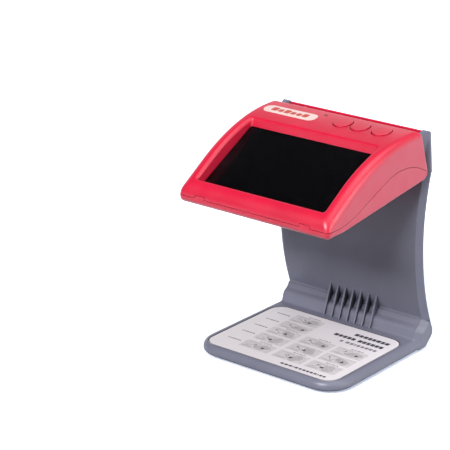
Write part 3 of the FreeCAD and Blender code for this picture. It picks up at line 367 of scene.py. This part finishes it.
def rounded(x0, y0, x1, y1, radius, steps=4):
    """Corner points of a rounded rectangle, anticlockwise."""
    radius = min(radius, (x1 - x0) / 2 - LEAST_SIDE, (y1 - y0) / 2 - LEAST_SIDE)
    points = []
    corners = ((x1 - radius, y0 + radius, -90), (x1 - radius, y1 - radius, 0),
               (x0 + radius, y1 - radius, 90), (x0 + radius, y0 + radius, 180))
    for x, y, start in corners:
        for i in range(steps + 1):
            a = math.radians(start + 90 * i / steps)
            points.append((x + radius * math.cos(a), y + radius * math.sin(a)))
    return points


def blob(x, y, width, height, lobes, phase):
    """Soft-edged abstract spot."""
    points = []
    for i in range(BLOB_POINTS):
        a = 2 * math.pi * i / BLOB_POINTS
        lobe = BLOB_LOBE * math.sin(lobes * a + phase)
        ripple = BLOB_RIPPLE * math.cos((lobes + 2) * a - phase)
        swell = 1 + lobe + ripple
        points.append((x + width / 2 * swell * math.cos(a), y + height / 2 * swell * math.sin(a)))
    return points


def stroke(x, y, width, height, phase):
    """Outline of a thin wandering pen stroke."""
    path = []
    for i in range(STROKE_POINTS + 1):
        t = i / STROKE_POINTS
        rise = 0.5 + 0.5 * math.sin(STROKE_SWING * t + phase)
        path.append((x + width * t, y + height * rise))
    return path + [(x, y + STROKE_WIDTH) for x, y in path[::-1]]


def word(x, y, height, blocks, gap):
    """Row of small plain blocks that stands for a word."""
    shapes = []
    for width in blocks:
        shapes.append(rounded(x, y, x + width, y + height, BLOCK_CORNER, 2))
        x += width + gap
    return shapes


def line_of(right, y, height, words, gap, space):
    """Words set against the right-hand margin."""
    total = sum(sum(w) + gap * (len(w) - 1) for w in words) + space * (len(words) - 1)
    x = right - total
    shapes = []
    for w in words:
        shapes += word(x, y, height, w, gap)
        x += sum(w) + gap * (len(w) - 1) + space
    return shapes


def printed(name, outlines, height_at, finish, thickness=0.02, bands=()):
    """Thin ink layer over the outlines, and over bands between an outer and an inner outline; the
    bands carry painted shade.

    height_at gives the height of the surface under a point.
    """
    work = bmesh.new()

    def walls(outline):
        top = [work.verts.new(Vector((x, y, height_at(x, y) + thickness)) * MM) for x, y in outline]
        low = [work.verts.new(Vector((x, y, height_at(x, y))) * MM) for x, y in outline]
        for i in range(len(outline)):
            j = (i + 1) % len(outline)
            work.faces.new((top[i], low[i], low[j], top[j]))
        return top, low

    for outline in outlines:
        top, low = walls(outline)
        work.faces.new(top)
        work.faces.new(low[::-1])
    for outer, inner in bands:
        outer_top, outer_low = walls(outer)
        inner_top, inner_low = (ring[::-1] for ring in walls(inner[::-1]))
        for i in range(len(outer)):
            j = (i + 1) % len(outer)
            work.faces.new((outer_top[i], outer_top[j], inner_top[j], inner_top[i]))
            work.faces.new((outer_low[j], outer_low[i], inner_low[i], inner_low[j]))
    mesh = bpy.data.meshes.new(name)
    work.to_mesh(mesh)
    work.free()
    piece = bpy.data.objects.new(name, mesh)
    bpy.context.scene.collection.objects.link(piece)
    mesh.materials.append(finish)
    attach(piece, "root")


# ---- Print on the note guide, and painted shade along its edge ----
label_low, label_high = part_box("note_guide_label")
PRINT_LIFT = 0.01
LABEL_TOP = label_high.z / MM + PRINT_LIFT
LABEL_CORNER = 9.7
GAP_SHADE_OUTER_INSET = 0.03
GAP_SHADE_INNER_INSET = 0.5

# Left and right of each column of pictures, and bottom and top of each row.
COLUMN_ONE = (-30.5, -7.2)
COLUMN_TWO = (-3.8, 19.5)
COLUMN_THREE = (22.0, 45.3)
LOW_ROWS = ((-6.6, 4.6), (-19.8, -8.4), (-34.4, -22.6))
HIGH_ROWS = ((17.9, 29.6), (6.1, 16.6))
CAPTIONED_ROWS = (LOW_ROWS[0], LOW_ROWS[2], HIGH_ROWS[0])
PANE_CORNER = 0.6
BAR_CORNER = 0.3
PHASE_STEP = 1.7
LEFT_MARGIN = -43.4
RIGHT_MARGIN = 45.3

# Widths of the blocks that stand for the letters of each word.
CAPTION_WORD = (2.1, 1.5, 2.8, 1.7)
VALUE_WORD = (0.9, 0.9, 0.9, 2.2, 1.8, 2.0)
FIRST_LINE = ((3.1, 2.6, 2.9, 2.7, 2.6, 3.1, 2.6, 2.8),)
SECOND_LINE = ((3.1, 2.6, 2.8, 2.7, 2.6), (2.9, 2.6, 2.6, 2.7, 2.6, 2.7))
THIRD_LINE = ((2.2,), (2.8, 2.6, 1.2, 2.4, 2.3, 2.5, 2.3, 2.5))
FOOTER_WORD = (2.5, 2.5, 2.5, 0.7, 2.4, 2.2, 2.2, 2.0, 2.2, 2.2, 0.7, 2.0, 1.9)


def label_height(x, y):
    return LABEL_TOP


def label_outline(inset):
    """The label's own outline moved inwards."""
    x0, y0 = label_low.x / MM + inset, label_low.y / MM + inset
    x1, y1 = label_high.x / MM - inset, label_high.y / MM - inset
    return rounded(x0, y0, x1, y1, LABEL_CORNER - inset, steps=10)


def point_in(picture, across, up):
    """Point of a picture at the given shares of its width and height."""
    (left, right), (bottom, top) = picture
    return left + (right - left) * across, bottom + (top - bottom) * up


pictures = [(COLUMN_ONE, row) for row in HIGH_ROWS + LOW_ROWS]
pictures += [(column, row) for column in (COLUMN_TWO, COLUMN_THREE) for row in LOW_ROWS]
panes = []
shades = []
strokes = []
marks = []
captions = []
for i, picture in enumerate(pictures):
    (left, right), (bottom, top) = picture
    wide, tall = right - left, top - bottom
    phase = PHASE_STEP * i
    panes.append(rounded(left, bottom, right, top, PANE_CORNER))
    centre = point_in(picture, 0.66, 0.48)
    shades.append(blob(*centre, wide * 0.42, tall * 0.7, lobes=2, phase=phase))
    for low_corner, high_corner in (((0.08, 0.12), (0.4, 0.24)), ((0.12, 0.78), (0.52, 0.86))):
        ends = point_in(picture, *low_corner) + point_in(picture, *high_corner)
        shades.append(rounded(*ends, BAR_CORNER))
    start = point_in(picture, 0.2 + 0.08 * math.sin(i), 0.3)
    strokes.append(stroke(*start, wide * 0.34, tall * 0.26, phase=i))
    centre = point_in(picture, 0.62 + 0.16 * math.sin(phase), 0.42)
    marks.append(blob(*centre, width=2.6, height=2.2, lobes=3, phase=phase))
    centre = point_in(picture, 0.3 + 0.1 * math.cos(phase), 0.62)
    marks.append(blob(*centre, width=1.7, height=1.1, lobes=2, phase=phase + 1))
    if (bottom, top) in CAPTIONED_ROWS:
        captions += word(left + 8.5, top + 0.6, height=0.8, blocks=CAPTION_WORD, gap=0.5)

values = []
for bottom, top in HIGH_ROWS + LOW_ROWS:
    middle = (bottom + top) / 2
    values += word(LEFT_MARGIN, middle - 0.2, height=1.2, blocks=VALUE_WORD, gap=0.35)

heading = line_of(RIGHT_MARGIN, 24.8, height=3.5, words=FIRST_LINE, gap=0.6, space=2)
heading += line_of(RIGHT_MARGIN, 17.6, height=3.5, words=SECOND_LINE, gap=0.6, space=2.6)
heading_light = line_of(RIGHT_MARGIN - 0.4, 11.2, height=2.8, words=THIRD_LINE, gap=0.75, space=2.3)
footer = word(8.3, -40.6, height=2.0, blocks=FOOTER_WORD, gap=0.75)

pane_ink = ink("pane_ink", (0.565, 0.545, 0.565), size=2.6 * MM, contrast=0.16)
shade_ink = ink("shade_ink", (0.42, 0.405, 0.425), size=1.2 * MM, contrast=0.25)
dark_ink = ink("dark_ink", (0.035, 0.033, 0.045), size=1.0 * MM, contrast=0.25)
caption_ink = ink("caption_ink", (0.2, 0.19, 0.215), size=0.8 * MM, contrast=0.2)
gap_shade_ink = ink("gap_shade_ink", (0.1, 0.085, 0.09), size=0.8 * MM, contrast=0.2)
badge_ink = ink("badge_ink", (0.5, 0.06, 0.05), size=1.2 * MM, contrast=0.2)

# Painted shade: a dark ring along the label's edge stands for the shadow in the gap around the
# label.
gap_shade_band = (label_outline(GAP_SHADE_OUTER_INSET), label_outline(GAP_SHADE_INNER_INSET))
printed("label_painted_gap_shade", [], label_height, gap_shade_ink, bands=[gap_shade_band])
# The layers that overlap get thicker from the panes to the marks, so that none share a face.
printed("label_print_panes", panes, label_height, pane_ink, thickness=0.01)
printed("label_print_shades", shades, label_height, shade_ink, thickness=0.016)
printed("label_print_strokes", strokes, label_height, dark_ink, thickness=0.019)
printed("label_print_marks", marks, label_height, dark_ink, thickness=0.022)
printed("label_print_captions", captions + values, label_height, caption_ink)
printed("label_print_heading", heading + footer, label_height, dark_ink)
printed("label_print_heading_light", heading_light, label_height, caption_ink)

# ---- Print on the badge ----
ABOVE_ALL = 0.2
BADGE_INDENT = 5.6
BADGE_GAP = 0.9
BADGE_CORNER = 1.1
BADGE_DROP = 2.5
# Width and height of each block.
BADGE_BLOCKS = ((4.6, 5.2), (3.7, 4.1), (4.3, 5.2), (3.7, 4.1), (3.6, 4.1), (4.1, 5.2))

badge_low, badge_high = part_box("badge_plate")
badge_tree = BVHTree.FromObject(NODES["badge_plate"], bpy.context.evaluated_depsgraph_get())


def badge_height(x, y):
    """Height of the badge's upper face."""
    hit = badge_tree.ray_cast(Vector((x * MM, y * MM, ABOVE_ALL)), Vector((0, 0, -1)))[0]
    return hit.z / MM + PRINT_LIFT


block_x = badge_low.x / MM + BADGE_INDENT
block_y = (badge_low.y + badge_high.y) / 2 / MM - BADGE_DROP
badge_marks = []
for width, height in BADGE_BLOCKS:
    outline = rounded(block_x, block_y, block_x + width, block_y + height, BADGE_CORNER)
    badge_marks.append(outline)
    block_x += width + BADGE_GAP
printed("badge_print", badge_marks, badge_height, badge_ink, thickness=0.03)

# ---- Floor ----
FLOOR_HALF = 8.0
FLOOR_CELLS = 24
FLOOR_DARK = (0.86, 0.86, 0.87)
FLOOR_PALE = (0.88, 0.88, 0.885)
GLOW_COLOUR = (0.68, 0.76, 1.0)


def floor_mesh():
    work = bmesh.new()
    lines = [(i / FLOOR_CELLS * 2 - 1) * FLOOR_HALF for i in range(FLOOR_CELLS + 1)]
    grid = [[work.verts.new((x, y, 0)) for y in lines] for x in lines]
    for i in range(FLOOR_CELLS):
        for j in range(FLOOR_CELLS):
            corners = (grid[i][j], grid[i + 1][j], grid[i + 1][j + 1], grid[i][j + 1])
            work.faces.new(corners)
    mesh = bpy.data.meshes.new("studio_floor")
    work.to_mesh(mesh)
    work.free()
    return mesh


def floor_finish():
    """Pale matt sheet that glows further out and behind the object; see-through from below."""
    material, tree, shader = finish_of("studio_floor")
    cloud = patchy(tree, size=0.8, low=0, high=1)
    tone = mixed(tree, cloud, rgba(FLOOR_DARK), rgba(FLOOR_PALE))
    wire(tree, shader, Base_Color=tone, Roughness=0.7, Specular_IOR_Level=0.2)
    away = add(tree, "ShaderNodeVectorMath", {0: place(tree)}, operation="LENGTH")
    rear = add(tree, "ShaderNodeSeparateXYZ", {"Vector": place(tree)}).outputs["Y"]
    far_glow = spread(tree, away.outputs["Value"], low=0.0, high=0.7, start=0.7, end=3.0)
    rear_glow = spread(tree, rear, low=0.25, high=1.0, start=-0.2, end=0.35)
    glow = add(tree, "ShaderNodeMath", {0: far_glow, 1: rear_glow}, operation="ADD").outputs[0]
    wire(tree, shader, Emission_Color=rgba(GLOW_COLOUR), Emission_Strength=glow)
    below = add(tree, "ShaderNodeNewGeometry").outputs["Backfacing"]
    gone = add(tree, "ShaderNodeBsdfTransparent").outputs["BSDF"]
    sockets = {0: below, 1: shader.outputs["BSDF"], 2: gone}
    surface = add(tree, "ShaderNodeMixShader", sockets).outputs["Shader"]
    feed(tree, tree.nodes["Material Output"].inputs["Surface"], surface)
    return material


sheet = bpy.data.objects.new("studio_floor", floor_mesh())
bpy.context.scene.collection.objects.link(sheet)
sheet.data.materials.append(floor_finish())
sheet.visible_diffuse = False

# ---- World: a soft room for the light, plain white for the camera ----
BACKDROP_STRENGTH = 1.05
BACKDROP_TINT = (0.97, 0.98, 1.0)

world = bpy.data.worlds.new("studio")
bpy.context.scene.world = world
world.use_nodes = True
sky = world.node_tree
direction = add(sky, "ShaderNodeTexCoord").outputs["Generated"]
axes = add(sky, "ShaderNodeSeparateXYZ", {"Vector": direction}).outputs
wall = spread(sky, axes["Y"], low=0.14, high=1.25, start=-0.1, end=0.55)
dome = spread(sky, axes["Z"], low=1.0, high=0.16, start=0.18, end=0.6)
ground = spread(sky, axes["Z"], low=0.12, high=1.0, start=-0.12, end=0.0)
seen = add(sky, "ShaderNodeLightPath").outputs["Is Camera Ray"]
room = product(sky, product(sky, wall, dome), ground)
strength = spread(sky, seen, low=room, high=BACKDROP_STRENGTH, start=0.0, end=1.0)
wire(sky, sky.nodes["Background"], Strength=strength, Color=rgba(BACKDROP_TINT))

# ---- Lights, all aimed at the middle of the object ----
LIGHT_TARGET = Vector((0, 0, 0.06))
# Name, place, width and height in metres, and power in watts.
SOFTBOXES = (
    ("key_front", (0.2, -1.9, 1.5), 1.2, 0.7, 72),
    ("low_front", (0.2, -2.2, 0.12), 1.4, 0.2, 4),
    ("fill_right", (2.0, 0.3, 0.75), 1.4, 1.2, 24),
    ("top", (0.9, 0.5, 2.6), 1.8, 1.8, 30),
)
for name, spot, width, height, power in SOFTBOXES:
    light = bpy.data.lights.new(name, "AREA")
    light.shape = "RECTANGLE"
    light.size = width
    light.size_y = height
    light.energy = power
    lamp = bpy.data.objects.new(name, light)
    bpy.context.scene.collection.objects.link(lamp)
    lamp.location = spot
    lamp.rotation_euler = (LIGHT_TARGET - Vector(spot)).to_track_quat("-Z", "Y").to_euler()

# ---- Camera, solved from the photograph ----
FOCAL_LENGTH_MM = 152
SENSOR_WIDTH_MM = 36
NEAREST = 0.01
CAMERA_AIM = Vector((-0.0283, -0.0501, 0.0948))
CAMERA_SIDE = Vector((0.5956, -0.7276, 0.3404)).normalized()
CAMERA_DISTANCE = 1.180

lens = bpy.data.cameras.new("camera")
lens.lens = FOCAL_LENGTH_MM
lens.sensor_width = SENSOR_WIDTH_MM
lens.clip_start = NEAREST
camera = bpy.data.objects.new("camera", lens)
bpy.context.scene.collection.objects.link(camera)
camera.location = CAMERA_AIM + CAMERA_SIDE * CAMERA_DISTANCE
camera.rotation_euler = (-CAMERA_SIDE).to_track_quat("-Z", "Y").to_euler()
bpy.context.scene.camera = camera
bpy.context.scene.view_settings.view_transform = "Standard"
